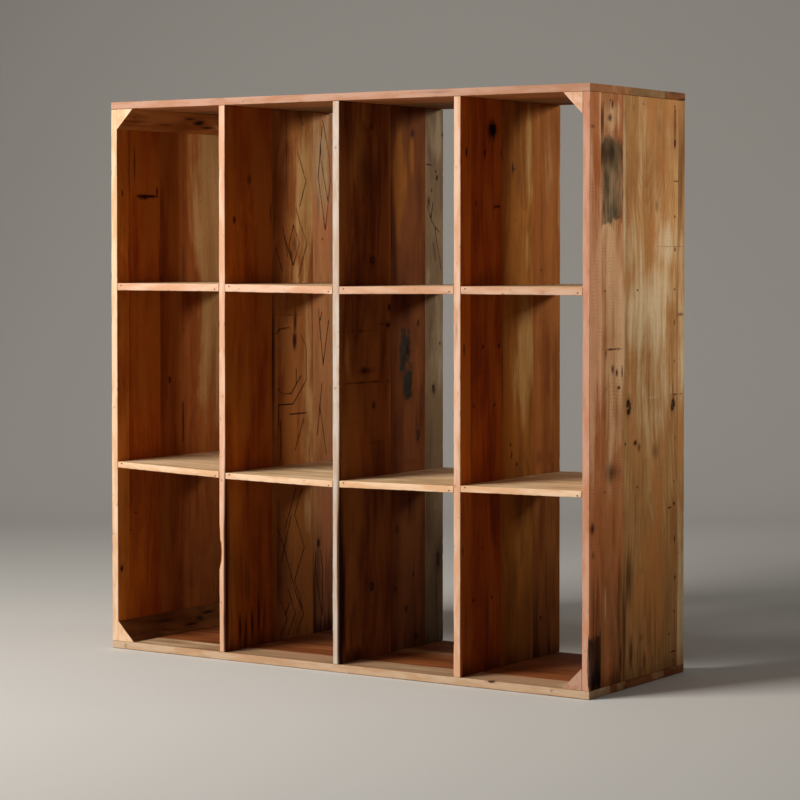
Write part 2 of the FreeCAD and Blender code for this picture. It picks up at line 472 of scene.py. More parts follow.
def dimmed(colour, by):
    """A colour multiplied by another, channel by channel."""
    sockets = {0: 1.0, 6: colour, 7: (*by, 1)}
    return add(colour.id_data, "Mix", sockets, data_type="RGBA", blend_type="MULTIPLY").outputs[2]


def group_of(name, inputs, outputs):
    """An empty node group with these inputs and outputs: its tree, inputs and output node."""
    tree = bpy.data.node_groups.new(name, "ShaderNodeTree")
    for label, value in inputs.items():
        kind = "NodeSocketFloat" if isinstance(value, float) else "NodeSocketVector"
        kind = "NodeSocketColor" if isinstance(value, tuple) and len(value) == 4 else kind
        tree.interface.new_socket(label, in_out="INPUT", socket_type=kind).default_value = value
    for label, kind in outputs.items():
        tree.interface.new_socket(label, in_out="OUTPUT", socket_type="NodeSocket" + kind)
    return tree, tree.nodes.new("NodeGroupInput").outputs, tree.nodes.new("NodeGroupOutput")


def old_wood_group():
    """Aged softwood. Growth rings are the distance from a heart plus the figure, counted off
    in ring widths; streaks and fibres are noise drawn out along the grain; marks come last."""
    inputs = {
        "Place": (0.0, 0.0, 0.0), "Depth": 0.0, "Board": 0.0, "Heart Across": 0.0, "Heart Through": 0.1,
        "Ring Width": 0.006, "Rings": 0.2, "Streaks": 1.0, "Saw Marks": 0.0, "Patch Wear": 0.3,
        "Light": (0.4, 0.2, 0.1, 1), "Dark": (0.2, 0.1, 0.05, 1), "Tint": (0.3, 0.2, 0.1, 1),
        "Pale": (0.5, 0.3, 0.15, 1), "Edge": (0.7, 0.5, 0.3, 1), "Patch": (0.05, 0.05, 0.04, 1),
    }
    outputs = {"Color": "Color", "Roughness": "Float", "Height": "Float"}
    tree, given, result = group_of("old_wood", inputs, outputs)
    marks = {name: add(tree, "Attribute", attribute_name=name, attribute_type="GEOMETRY").outputs["Fac"]
             for name in UNMARKED}
    steps = (ANOTHER_BOARD, ANOTHER_BOARD / 2, ANOTHER_BOARD / 3)
    own = add(tree, "VectorMath", {0: given["Board"], 1: steps}, operation="MULTIPLY").outputs[0]
    place = add(tree, "VectorMath", {0: given["Place"], 1: own}, operation="ADD").outputs[0]
    bend = grained(place, 6, 2.2, 1.0).outputs["Color"]
    sockets = {0: bend, 1: (0.05, 0.05, 0.0), 2: place}
    bent = add(tree, "VectorMath", sockets, operation="MULTIPLY_ADD").outputs[0]

    streak = grained(bent, 26, 1.6, 3.0, 0.62).outputs["Fac"]
    fine = grained(bent, 150, 6, 2.0).outputs["Fac"]
    fibre = grained(bent, 800, 28, 1.0).outputs["Fac"]
    mottle = grained(bent, 16, 6, 3.0, 0.6).outputs["Fac"]
    cloud = grained(place, 5.5, 3.5, 2.0).outputs["Fac"]
    lump = grained(place, 75, 60, 1.0).outputs["Fac"]
    ragged = maths("ADD", maths("SUBTRACT", fine, 0.5), maths("SUBTRACT", fibre, 0.5))

    heart = add(tree, "CombineXYZ", {0: given["Heart Across"], 1: given["Heart Through"]}).outputs[0]
    sockets = {0: bend, 1: (0.03, 0.03, 0.0), 2: given["Place"]}
    bent_rings = add(tree, "VectorMath", sockets, operation="MULTIPLY_ADD").outputs[0]
    from_heart = add(tree, "VectorMath", {0: bent_rings, 1: heart}, operation="SUBTRACT").outputs[0]
    flat = add(tree, "VectorMath", {0: from_heart, 1: (1, 1, 0)}, operation="MULTIPLY").outputs[0]
    radius = add(tree, "VectorMath", {0: flat}, operation="LENGTH").outputs["Value"]
    radius = maths("ADD", radius, marks["figure"])
    rings_out = maths("DIVIDE", radius, given["Ring Width"])
    part = maths("FRACT", swing(cloud, 5.0, rings_out))
    late = times(fade(part, 0.2, 0.85), fade(part, 0.85, 1.0, 1.0, 0.0))
    late = times(late, fade(mottle, 0.35, 0.65))

    tone = maths("MULTIPLY_ADD", maths("SUBTRACT", 0.25, late), given["Rings"], 0.5)
    for wave, amount in ((streak, 2.3), (fine, 0.75), (mottle, 1.7), (fibre, 0.4), (cloud, 1.2)):
        tone = swing(wave, times(given["Streaks"], amount), tone)
    tone = add(tree, "Clamp", {0: tone}).outputs[0]
    colour = tinted(tone, given["Dark"], given["Light"])
    hue = grained(bent, 11, 2.5, 2.0).outputs["Fac"]
    colour = tinted(fade(hue, 0.45, 0.65, 0.0, 0.8), colour, given["Tint"])

    bleached = swing(streak, 1.9, swing(mottle, 1.2, marks["pale"]))
    bleached = times(fade(bleached, 0.15, 0.85), fade(marks["pale"], 0.02, 0.3))
    pale = tinted(tone, dimmed(given["Pale"], (0.72, 0.62, 0.5)), given["Pale"])
    colour = tinted(bleached, colour, pale)

    pores = fade(grained(place, 1300, 55, 0.0).outputs["Fac"], 0.6, 0.75)
    darker = dimmed(colour, (0.4, 0.32, 0.26))
    colour = tinted(times(pores, 0.3), colour, darker)
    sockets = {0: place, 1: (27, 27, 15)}
    speck_place = add(tree, "VectorMath", sockets, operation="MULTIPLY").outputs[0]
    speck = add(tree, "TexVoronoi", {"Vector": speck_place, "Scale": 1.0})
    chosen = add(tree, "SeparateColor", {0: speck.outputs["Color"]}).outputs[0]
    near_one = fade(speck.outputs["Distance"], 0.025, 0.06, 0.85, 0.0)
    speck = times(near_one, maths("GREATER_THAN", chosen, 0.9))

    along = add(tree, "SeparateXYZ", {0: place}).outputs[2]
    tooth = maths("SINE", swing(cloud, 55.0, times(along, math.tau / TOOTH_PITCH)))
    rows = grained(place, 32, 9, 2.0).outputs["Fac"]
    sawn = times(fade(swing(fine, 2.5, tooth), 0.3, 1.2), fade(swing(streak, 0.8, rows), 0.50, 0.62))
    sawn = times(sawn, given["Saw Marks"])
    colour = tinted(sawn, colour, dimmed(colour, (0.55, 0.45, 0.38)))

    wobble = times(maths("SUBTRACT", lump, 0.5), 0.002)
    depth = maths("ADD", maths("ABSOLUTE", given["Depth"]), wobble)
    cut_edge = fade(depth, BACK - 1.9 * MM, BACK - 0.9 * MM)
    worn = fade(grained(place, 45, 9, 3.0, 0.6).outputs["Fac"], 0.38, 0.62)
    edge = tinted(worn, dimmed(given["Edge"], (0.88, 0.75, 0.64)), given["Edge"])
    darker = dimmed(edge, (0.3, 0.22, 0.17))
    edge = tinted(fade(lump, 0.70, 0.80, 0.0, 0.45), edge, darker)
    colour = tinted(cut_edge, colour, edge)

    rho = swing(lump, 1.3, maths("MULTIPLY_ADD", ragged, 0.25, marks["knot"]))
    knot_rings = fade(maths("SINE", times(rho, 15.0)), -0.4, 1.0)
    halo = times(fade(rho, 0.9, 2.8, 0.75, 0.0), fade(swing(streak, 2.0, knot_rings), -0.3, 1.0))
    colour = tinted(halo, colour, dimmed(colour, (0.42, 0.28, 0.18)))
    core = tinted(knot_rings, (0.085, 0.032, 0.013, 1), (0.03, 0.012, 0.006, 1))
    rim = fade(maths("ABSOLUTE", maths("SUBTRACT", rho, 0.88)), 0.06, 0.26, 1.0, 0.0)
    core = tinted(rim, core, (0.007, 0.004, 0.003, 1))
    colour = tinted(fade(rho, 0.92, 1.25, 0.93, 0.0), colour, core)

    flaked = swing(mottle, 18.0, swing(streak, 16.0, swing(lump, 12.0, marks["patch"])))
    covered = fade(maths("MULTIPLY_ADD", ragged, 7.0, flaked), -2.0, 3.5)
    thin = fade(swing(fine, 0.7, mottle), 0.40, 0.60)
    keep = maths("SUBTRACT", 1.0, times(thin, given["Patch Wear"]))
    covered = times(covered, keep)
    blotch = fade(grained(place, 34, 12, 3.0, 0.6).outputs["Fac"], 0.36, 0.66)
    patch = tinted(blotch, dimmed(given["Patch"], (0.25, 0.25, 0.25)), given["Patch"])
    colour = tinted(times(covered, 0.93), colour, patch)

    # Stains darken the wood; this field also carries the painted shade put on the boards' lower ends.
    stain_and_shade_share = swing(streak, 1.5, swing(fine, 0.6, marks["stain_and_shade"]))
    stain_and_shade_share = times(fade(stain_and_shade_share, 0.1, 0.95), fade(marks["stain_and_shade"], 0.02, 0.3))
    colour = tinted(stain_and_shade_share, colour, dimmed(colour, (0.11, 0.06, 0.04)))

    cut = fade(maths("MULTIPLY_ADD", ragged, 1.3, marks["scratch"]), 0.8, 2.8, 0.95, 0.0)
    cut = times(cut, fade(mottle, 0.3, 0.5, 0.6, 1.0))
    gap = fade(maths("MULTIPLY_ADD", ragged, 0.5, marks["dark"]), 0.3, 0.8)
    black = maths("MAXIMUM", maths("MAXIMUM", cut, speck), gap)
    colour = tinted(black, colour, dimmed(colour, (0.06, 0.045, 0.035)))

    rougher = maths("MAXIMUM", black, covered)
    rough = swing(fine, 0.3, maths("MULTIPLY_ADD", rougher, 0.15, 0.7))
    height = maths("MULTIPLY_ADD", late, times(given["Rings"], 0.5), 0.3)
    for wave, amount in ((fine, 0.3), (fibre, 0.2), (streak, 0.4), (pores, -0.25), (sawn, -0.5),
                         (covered, 0.2), (speck, -0.6)):
        height = maths("MULTIPLY_ADD", wave, amount, height)
    tree.links.new(colour, result.inputs["Color"])
    tree.links.new(rough, result.inputs["Roughness"])
    tree.links.new(height, result.inputs["Height"])
    return tree


OLD_WOOD = old_wood_group()


def wood(name, colours, edge, heart, grain="upright", ring_width=7.0, rings=0.2, streaks=1.0,
         saw_marks=0.0, patch=(0.03, 0.035, 0.03), patch_wear=0.3):
    """A board's finish: the old wood group turned to the board's grain, with its own growth
    rings, whose heart is so far across and through, in metres. Its colours are the light and
    the dark of the grain, a tint that drifts over them and what it bleaches to."""
    material = bpy.data.materials.new(name)
    material.use_nodes = True
    tree = material.node_tree
    shader = tree.nodes["Principled BSDF"]
    split = add(tree, "SeparateXYZ", {0: add(tree, "TexCoord").outputs["Object"]}).outputs
    turned = {"upright": (1, 0, 2), "level": (1, 2, 0), "deep": (0, 2, 1)}[grain]
    place = add(tree, "CombineXYZ", {0: split[turned[0]], 1: split[turned[1]], 2: split[turned[2]]})
    board = tree.nodes.new("ShaderNodeGroup")
    board.node_tree = OLD_WOOD
    tree.links.new(place.outputs[0], board.inputs["Place"])
    tree.links.new(split[1], board.inputs["Depth"])
    light, dark, tint, pale = colours
    values = {
        "Board": float(zlib.crc32(name.encode()) % 97), "Heart Across": heart[0],
        "Heart Through": heart[1], "Ring Width": ring_width * MM, "Rings": rings,
        "Streaks": streaks, "Saw Marks": saw_marks, "Patch Wear": patch_wear,
        "Light": (*light, 1), "Dark": (*dark, 1), "Tint": (*tint, 1), "Pale": (*pale, 1),
        "Edge": (*edge, 1), "Patch": (*patch, 1),
    }
    for label, value in values.items():
        board.inputs[label].default_value = value
    bump = add(tree, "Bump", {"Height": board.outputs["Height"], "Strength": 0.5, "Distance": 0.5 * MM})
    tree.links.new(board.outputs["Color"], shader.inputs["Base Color"])
    tree.links.new(board.outputs["Roughness"], shader.inputs["Roughness"])
    tree.links.new(bump.outputs["Normal"], shader.inputs["Normal"])
    shader.inputs["Specular IOR Level"].default_value = 0.05
    return material


RUSSET = ((0.60, 0.18, 0.022), (0.33, 0.075, 0.006), (0.58, 0.19, 0.03), (0.6, 0.27, 0.07))
RED_BROWN = ((0.50, 0.120, 0.010), (0.24, 0.043, 0.002), (0.43, 0.134, 0.016), (0.52, 0.21, 0.06))
DEEP_RED = ((0.38, 0.080, 0.006), (0.17, 0.028, 0.002), (0.36, 0.100, 0.010), (0.45, 0.19, 0.05))
TOBACCO = ((0.37, 0.098, 0.011), (0.18, 0.038, 0.003), (0.36, 0.125, 0.018), (0.42, 0.18, 0.05))
OLIVE = ((0.36, 0.108, 0.019), (0.20, 0.044, 0.0055), (0.33, 0.098, 0.015), (0.45, 0.24, 0.085))
CREAM_EDGE = (0.84, 0.58, 0.38)

old_board("left_side_board_1", wood("left_side_1", RUSSET, CREAM_EDGE, (-0.3, 0.2)), rounds=FRONT_BOARD,
          bow=-0.6,
          stains=[(22, 1144, 4, 9, 1.0), (24, 670, 4, 20, 0.6), (15, 200, 6, 8, 1.0),
                  (30, 1050, 6, 20, 0.5), (44, 990, 4, 60, 0.5)])
old_board("left_side_board_2", wood("left_side_2", RED_BROWN, CREAM_EDGE, (-0.1, 0.12)),
          holes=[(52, 294, 3, 1.5), (72, 336, 3, 1.5)], scratches=[(92, 1139, 160, 1137)],
          stains=[(122, 1138, 45, 5, 1.1), (110, 1133, 22, 5, 0.8), (160, 1150, 4, 14, 1.3),
                  (70, 1210, 5, 60, 0.5), (122, 1165, 5, 30, 0.45), (48, 1180, 4, 140, 0.5),
                  (170, 980, 7, 90, 0.5)])
old_board("left_side_board_3", wood("left_side_3", TOBACCO, CREAM_EDGE, (0.1, 0.25)),
          knots=[(210, 667, 4, 6)], stains=[(178, 700, 7, 200, 0.45), (190, 980, 16, 60, 0.5)])
old_board("left_side_board_4", wood("left_side_4", OLIVE, CREAM_EDGE, (0.15, 0.3), rings=0.3),
          rounds=BACK_BOARD, cracks=[(265, 490, 620, 1.6)], foot_grime_and_shade=0.35,
          pales=[(390, 1100, 80, 420, 0.95), (395, 740, 75, 200, 0.8)], stains=[(325, 935, 5, 5, 0.6)])

# ---------------------------------------------------------------------------------------
# Dividers: three panels of glued boards between the bottom and the top, each from other
# old stock. The first has bark wane on its front corner and old carving on its back half.

UMBER = ((0.44, 0.17, 0.045), (0.20, 0.045, 0.005), (0.34, 0.115, 0.022), (0.60, 0.34, 0.13))
ROSE = ((0.54, 0.24, 0.088), (0.33, 0.12, 0.036), (0.54, 0.19, 0.08), (0.58, 0.36, 0.18))
CHOCOLATE = ((0.27, 0.082, 0.017), (0.10, 0.024, 0.003), (0.29, 0.10, 0.020), (0.34, 0.15, 0.035))
MAHOGANY = ((0.17, 0.050, 0.010), (0.075, 0.016, 0.003), (0.18, 0.055, 0.012), (0.29, 0.105, 0.014))
GREY_GREEN = ((0.25, 0.165, 0.088), (0.12, 0.072, 0.036), (0.20, 0.125, 0.062), (0.34, 0.26, 0.165))
HONEY = ((0.34, 0.135, 0.020), (0.18, 0.057, 0.006), (0.31, 0.11, 0.013), (0.44, 0.26, 0.085))
SORREL = ((0.35, 0.125, 0.025), (0.185, 0.050, 0.007), (0.32, 0.103, 0.020), (0.42, 0.21, 0.08))
SALMON_EDGE = (0.78, 0.50, 0.35)
GREY_EDGE = (0.60, 0.50, 0.42)
CARVED_PITCH = 3.2

LATTICE = [
    (296, 398, 250, 300), (275, 330, 232, 215), (217, 305, 247, 245), (247, 245, 300, 120),
    (300, 120, 330, 75), (320, 395, 290, 330), (290, 330, 333, 245), (333, 245, 290, 165),
    (290, 165, 325, 85), (262, 145, 293, 80), (225, 130, 258, 70), (268, 110, 250, 80), (330, 75, 298, 30),
    (293, 80, 262, 30), (258, 70, 230, 30),
]
OCTAGON = [
    (210, 790, 226, 803), (226, 803, 268, 806), (220, 655, 236, 641), (236, 641, 276, 639),
    (276, 639, 318, 682), (222, 613, 284, 612), (284, 612, 342, 671), (342, 671, 342, 755),
    (342, 755, 317, 786), (270, 587, 342, 587), (330, 572, 292, 495), (232, 575, 232, 475),
    (222, 612, 222, 560), (298, 700, 298, 660),
]
ZIGZAG = [
    (305, 1250, 341, 1176), (341, 1176, 314, 1112), (296, 1110, 318, 1062), (318, 1062, 346, 1020),
    (346, 1020, 308, 932), (287, 1065, 312, 1018), (312, 1018, 286, 962), (286, 962, 268, 1014),
    (268, 1014, 287, 1065), (249, 1036, 284, 962), (280, 1000, 279, 925), (318, 1340, 330, 1318),
    (210, 1008, 240, 948), (240, 1060, 262, 985),
]
old_board("divider_1_board_1", wood("divider_1_front", RED_BROWN, SALMON_EDGE, (-0.15, 0.3)),
          rounds=FRONT_BOARD, wane=[(262, 5.5, 400), (303, 2.5, 600)], foot_grime_and_shade=0.38,
          stains=[(102, 1175, 12, 18, 0.8), (0, 200, 20, 330, 1.1), (40, 1075, 5, 9, 0.9),
                  (190, 1090, 4, 40, 0.9), (60, 70, 8, 50, 0.9), (84, 60, 7, 62, 0.9),
                  (110, 75, 8, 60, 0.9), (136, 95, 8, 70, 0.9), (162, 85, 7, 54, 0.8),
                  (60, 720, 20, 90, 0.35), (150, 300, 30, 120, 0.35)])
old_board("divider_1_board_2", wood("divider_1_middle", UMBER, SALMON_EDGE, (0.06, 0.05)),
          pitch=CARVED_PITCH, foot_grime_and_shade=0.35, scratches=ZIGZAG + OCTAGON + LATTICE,
          pales=[(338, 1130, 40, 215, 1.0), (354, 640, 26, 230, 0.75), (300, 945, 30, 40, 0.6),
                 (345, 330, 16, 60, 0.5)],
          stains=[(257, 1230, 3.5, 140, 0.9), (204, 1080, 6, 70, 0.7), (293, 820, 7, 34, 0.8),
                  (291, 772, 9, 24, 0.95), (272, 838, 70, 2.5, 0.4), (198, 740, 4, 170, 0.9),
                  (288, 1018, 14, 28, 0.55), (210, 1130, 18, 240, 0.4), (200, 700, 8, 230, 0.5),
                  (230, 220, 40, 190, 0.55)])
old_board("divider_1_board_3", wood("divider_1_back", ROSE, SALMON_EDGE, (0.3, 0.1)), pitch=CARVED_PITCH,
          rounds=BACK_BOARD, foot_grime_and_shade=0.65, knots=[(395, 250, 5, 9)],
          pales=[(376, 1000, 7, 90, 0.7), (415, 1230, 50, 150, 0.6)],
          scratches=[(412, 1318, 405, 1262), (405, 1262, 395, 1190), (395, 1190, 425, 1055),
                     (415, 1335, 444, 1240), (444, 1240, 449, 1180), (449, 1180, 427, 1055),
                     (407, 1232, 439, 1125), (396, 850, 416, 706), (416, 706, 441, 820),
                     (410, 842, 404, 822), (411, 660, 389, 527), (404, 590, 430, 476),
                     (384, 230, 381, 190), (381, 190, 410, 60), (404, 230, 414, 175), (414, 175, 411, 60)],
          stains=[(405, 1255, 4, 22, 0.8), (401, 595, 4, 18, 0.9), (413, 1030, 5, 4, 0.7),
                  (412, 75, 6, 12, 0.9), (393, 1110, 10, 60, 0.35)])

old_board("divider_2_board_1", wood("divider_2_front", CHOCOLATE, GREY_EDGE, (-0.1, 0.3), rings=0.3),
          rounds=FRONT_BOARD, foot_grime_and_shade=0.15,
          knots=[(142, 978, 8, 9), (138, 1298, 4, 5), (148, 628, 6, 7), (140, 190, 7, 9),
                 (220, 862, 9, 7), (211, 818, 8, 6)],
          stains=[(0, 180, 24, 380, 1.25), (80, 808, 110, 4, 0.5), (110, 684, 130, 2.5, 0.75),
                  (115, 712, 32, 10, 0.8), (150, 538, 40, 3, 0.6), (190, 822, 22, 2.5, 0.8),
                  (125, 1290, 14, 3, 0.6), (103, 1125, 5, 16, 0.5), (70, 590, 60, 3, 0.3),
                  (130, 1180, 60, 80, 0.45), (60, 30, 80, 25, 0.6), (115, 210, 12, 3, 0.5)],
          pales=[(30, 1250, 20, 90, 0.5), (110, 1230, 100, 150, 0.45), (190, 1000, 22, 120, 0.4),
                 (30, 750, 20, 70, 0.4)])
old_board("divider_2_board_2",
          wood("divider_2_middle", MAHOGANY, GREY_EDGE, (0.1, 0.12), patch=(0.022, 0.026, 0.019),
               patch_wear=0.25),
          foot_grime_and_shade=0.35, patches=[(264, 310, 715, 812), (260, 292, 680, 775), (270, 320, 626, 722)],
          knots=[(318, 1287, 6, 9), (345, 820, 5, 7), (343, 545, 7, 14), (250, 320, 6, 10),
                 (290, 118, 7, 9)],
          stains=[(224, 1060, 4, 160, 0.8), (240, 172, 14, 8, 0.8), (322, 200, 8, 8, 0.8),
                  (335, 45, 14, 10, 0.9), (224, 700, 4, 120, 0.7), (300, 360, 60, 60, 0.4),
                  (300, 480, 60, 15, 0.4)],
          pales=[(262, 1170, 34, 130, 1.0), (312, 1235, 16, 60, 0.7), (340, 690, 24, 90, 0.35)])
old_board("divider_2_board_3", wood("divider_2_back", GREY_GREEN, GREY_EDGE, (0.2, 0.2)),
          rounds=BACK_BOARD, pitch=CARVED_PITCH, foot_grime_and_shade=0.4, knots=[(415, 655, 7, 10), (436, 225, 5, 16)],
          scratches=[(386, 1112, 402, 1078), (402, 1078, 420, 1060), (420, 1060, 432, 1015),
                     (432, 1015, 450, 952), (402, 1078, 412, 1120), (420, 1060, 445, 1045),
                     (412, 1018, 425, 975), (380, 1215, 410, 1212)],
          stains=[(430, 1182, 5, 8, 1.1), (424, 1197, 4, 5, 1.0), (405, 1150, 5, 7, 0.9),
                  (393, 1122, 7, 16, 0.8), (444, 768, 3, 4, 1.0), (395, 280, 5, 6, 0.8),
                  (455, 1290, 5, 5, 1.2), (420, 1005, 12, 45, 0.45)],
          pales=[(420, 1280, 40, 70, 0.8), (420, 800, 40, 160, 0.6), (390, 935, 10, 40, 0.9)])

old_board("divider_3_board_1", wood("divider_3_front", RED_BROWN, SALMON_EDGE, (-0.3, 0.2)),
          rounds=FRONT_BOARD, foot_grime_and_shade=0.5,
          stains=[(27, 1226, 5, 13, 1.1), (17, 772, 5, 16, 0.7), (12, 310, 5, 16, 0.8)])
old_board("divider_3_board_2", wood("divider_3_second", DEEP_RED, SALMON_EDGE, (-0.05, 0.2)),
          knots=[(145, 1281, 12, 14)], cracks=[(145, 1050, 1345, 1.5)], foot_grime_and_shade=0.4,
          stains=[(145, 1281, 24, 20, 1.0), (107, 1227, 5, 11, 1.2), (69, 1109, 4.5, 8, 1.0),
                  (162, 1103, 20, 5, 1.0), (180, 1226, 4, 18, 0.7), (57, 1110, 3, 100, 0.6),
                  (100, 777, 4, 5, 1.2), (172, 777, 5, 6, 1.3), (60, 640, 5, 5, 0.9),
                  (150, 639, 5, 5, 1.2), (58, 191, 5, 5, 1.2), (140, 189, 5, 6, 1.2),
                  (85, 308, 5, 5, 0.7), (95, 309, 3, 4, 0.6), (170, 310, 4, 16, 0.7),
                  (120, 930, 60, 50, 0.4), (48, 560, 4, 100, 0.5)])
old_board("divider_3_board_3", wood("divider_3_third", HONEY, SALMON_EDGE, (0.03, 0.15), rings=0.3),
          holes=[(225, 541, 3, 3.5)], foot_grime_and_shade=0.35,
          stains=[(254, 1313, 4, 4, 0.9), (251, 1270, 6, 4, 0.6), (233, 1195, 4, 16, 1.0),
                  (243, 1193, 7, 3, 0.8), (252, 1071, 4, 3, 0.8), (229, 516, 4, 10, 1.2),
                  (253, 493, 5, 5, 1.1), (270, 526, 5, 2, 0.6), (292, 858, 5, 3, 0.7),
                  (186, 700, 6, 600, 0.4)],
          pales=[(310, 1250, 20, 140, 0.7), (286, 745, 56, 165, 1.1), (305, 990, 16, 60, 0.7),
                 (300, 600, 30, 80, 0.4)])
old_board("divider_3_board_4", wood("divider_3_back", SORREL, SALMON_EDGE, (0.25, 0.3)), rounds=BACK_BOARD,
          holes=[(367, 115, 2, 3)], foot_grime_and_shade=0.4, pales=[(455, 1120, 9, 90, 1.0), (400, 1200, 22, 100, 0.45)],
          stains=[(369, 954, 7, 4, 0.9), (367, 112, 4, 9, 0.8), (335, 720, 5, 500, 0.45),
                  (400, 500, 60, 25, 0.4)])

# ---------------------------------------------------------------------------------------
# Right side panel: four boards with band-saw marks, a burnt lower end darkened further by
# painted shade, a weathered patch and a flame figure on the wide one, where a line of old
# nails ran.

CORAL = ((0.70, 0.25, 0.085), (0.42, 0.11, 0.030), (0.64, 0.20, 0.065), (0.98, 0.50, 0.27))
CEDAR = ((0.66, 0.27, 0.095), (0.38, 0.115, 0.032), (0.60, 0.19, 0.058), (0.92, 0.54, 0.285))
STRAW = ((0.64, 0.335, 0.120), (0.40, 0.165, 0.046), (0.57, 0.22, 0.058), (0.80, 0.57, 0.325))
ORANGE_EDGE = (0.63, 0.33, 0.22)
SAWN_PITCH = 3.6

old_board("right_side_board_1",
          wood("right_side_1", CORAL, ORANGE_EDGE, (-0.3, 0.8), saw_marks=0.35, patch=(0.06, 0.04, 0.03),
               patch_wear=0.3),
          rounds=FRONT_BOARD, patches=[(-25, 60, 14, 140)], pitch=SAWN_PITCH, foot_grime_and_shade=0.6,
          pales=[(47, 1300, 6, 60, 0.8), (22, 850, 55, 330, 0.95)],
          stains=[(53, 1290, 3, 45, 1.0), (54, 1215, 3, 30, 0.9), (15, 1276, 14, 5, 0.5),
                  (15, 380, 12, 14, 0.7), (18, 320, 9, 12, 0.6), (25, 200, 12, 18, 0.6),
                  (30, 60, 40, 80, 0.6)])
old_board("right_side_board_2",
          wood("right_side_2", CEDAR, ORANGE_EDGE, (-0.1, 0.9), saw_marks=0.3, patch=(0.17, 0.132, 0.068),
               patch_wear=0.4),
          patches=[(55, 153, 1060, 1255)], pitch=SAWN_PITCH, foot_grime_and_shade=0.42,
          stains=[(104, 1329, 6, 12, 0.8), (90, 1298, 12, 10, 0.75), (60, 1290, 3, 40, 0.9),
                  (100, 1216, 60, 40, 0.6), (76, 1150, 16, 60, 0.5), (75, 770, 6, 14, 0.8),
                  (105, 778, 40, 2.5, 0.9), (108, 733, 8, 12, 0.75), (126, 724, 6, 9, 0.8),
                  (152, 725, 4, 14, 0.85), (76, 690, 6, 7, 0.7), (135, 690, 8, 4, 0.8),
                  (105, 500, 42, 28, 0.6), (150, 60, 16, 70, 0.7), (155, 1130, 4, 20, 0.9)],
          pales=[(105, 1300, 42, 36, 0.8), (100, 900, 75, 370, 0.85), (75, 210, 4, 45, 0.9),
                 (60, 1230, 5, 60, 0.6)])
old_board("right_side_board_3",
          wood("right_side_3", STRAW, ORANGE_EDGE, (0.062, 0.74), rings=0.4, streaks=1.2, ring_width=15.0,
               saw_marks=0.12),
          flames=[(290, 1190, 75, -34), (285, 560, 150, 12)], eyes=[(183, 643, 9, 14)],
          knots=[(401, 640, 9, 13)], foot_grime_and_shade=0.35,
          stains=[(186, 245, 28, 100, 0.85), (163, 140, 12, 190, 0.85), (400, 1270, 40, 110, 0.25),
                  (401, 672, 4, 32, 0.8), (183, 643, 3, 30, 0.6), (196, 75, 14, 60, 0.85),
                  (226, 60, 9, 50, 0.7), (250, 108, 16, 14, 0.6), (262, 50, 12, 36, 0.75),
                  (300, 45, 8, 30, 0.6), (334, 60, 9, 40, 0.65), (168, 560, 6, 6, 0.9),
                  (215, 560, 10, 6, 0.9), (234, 548, 7, 12, 0.6), (315, 535, 24, 24, 0.45),
                  (408, 1290, 8, 60, 0.6), (408, 1252, 5, 11, 1.3), (408, 1325, 4, 8, 0.8),
                  (415, 1163, 26, 1.6, 0.7), (390, 1010, 90, 1.2, 0.5), (408, 1080, 4, 4, 1.0),
                  (410, 1003, 4, 5, 1.0), (408, 832, 3, 7, 0.8), (408, 740, 3, 4, 0.9),
                  (408, 662, 20, 2, 0.8), (412, 560, 4, 7, 1.0), (408, 405, 7, 5, 1.2),
                  (386, 397, 14, 2, 1.0), (412, 322, 4, 9, 1.0), (415, 230, 5, 5, 1.0),
                  (410, 150, 4, 4, 1.0), (385, 100, 9, 1.6, 0.9), (405, 56, 20, 2.5, 1.0),
                  (245, 262, 24, 16, 0.45), (290, 425, 14, 30, 0.3), (320, 1105, 14, 20, 0.35),
                  (205, 720, 90, 6, 0.2), (205, 1325, 7, 14, 0.55), (330, 1290, 16, 40, 0.45),
                  (300, 1335, 60, 16, 0.3)],
          pales=[(160, 1150, 8, 210, 1.2), (158, 820, 9, 120, 1.0), (250, 850, 95, 120, 0.85),
                 (370, 1010, 60, 60, 0.6), (190, 1010, 30, 90, 0.5), (360, 1280, 50, 60, 0.4),
                 (300, 660, 40, 4, 0.6), (290, 1330, 170, 330, 0.25), (290, 830, 150, 260, 0.5)])
old_board("right_side_board_4", wood("right_side_4", STRAW, ORANGE_EDGE, (0.3, 0.9)), rounds=BACK_BOARD,
          pales=[(445, 860, 20, 200, 0.6), (447, 190, 24, 220, 0.7)],
          stains=[(440, 850, 22, 2, 0.8), (445, 1010, 25, 1.4, 0.5), (440, 662, 12, 2, 0.6),
                  (450, 1220, 40, 240, 0.65)])

# ---------------------------------------------------------------------------------------
# Top and bottom panels: full-width boards of mixed old stock, glued edge to edge. They run
# over and under the ends of the sides and are nailed into them.

MOSSY = ((0.34, 0.19, 0.080), (0.19, 0.098, 0.038), (0.30, 0.15, 0.055), (0.42, 0.28, 0.14))
TAWNY = ((0.27, 0.10, 0.033), (0.11, 0.034, 0.010), (0.27, 0.088, 0.026), (0.34, 0.18, 0.07))
FOXY = ((0.31, 0.096, 0.029), (0.14, 0.035, 0.008), (0.31, 0.108, 0.035), (0.46, 0.25, 0.11))
BUFF = ((0.49, 0.315, 0.178), (0.30, 0.168, 0.084), (0.46, 0.265, 0.15), (0.62, 0.46, 0.29))
PINK_EDGE = (0.52, 0.30, 0.21)
SAND_EDGE = (0.58, 0.41, 0.27)

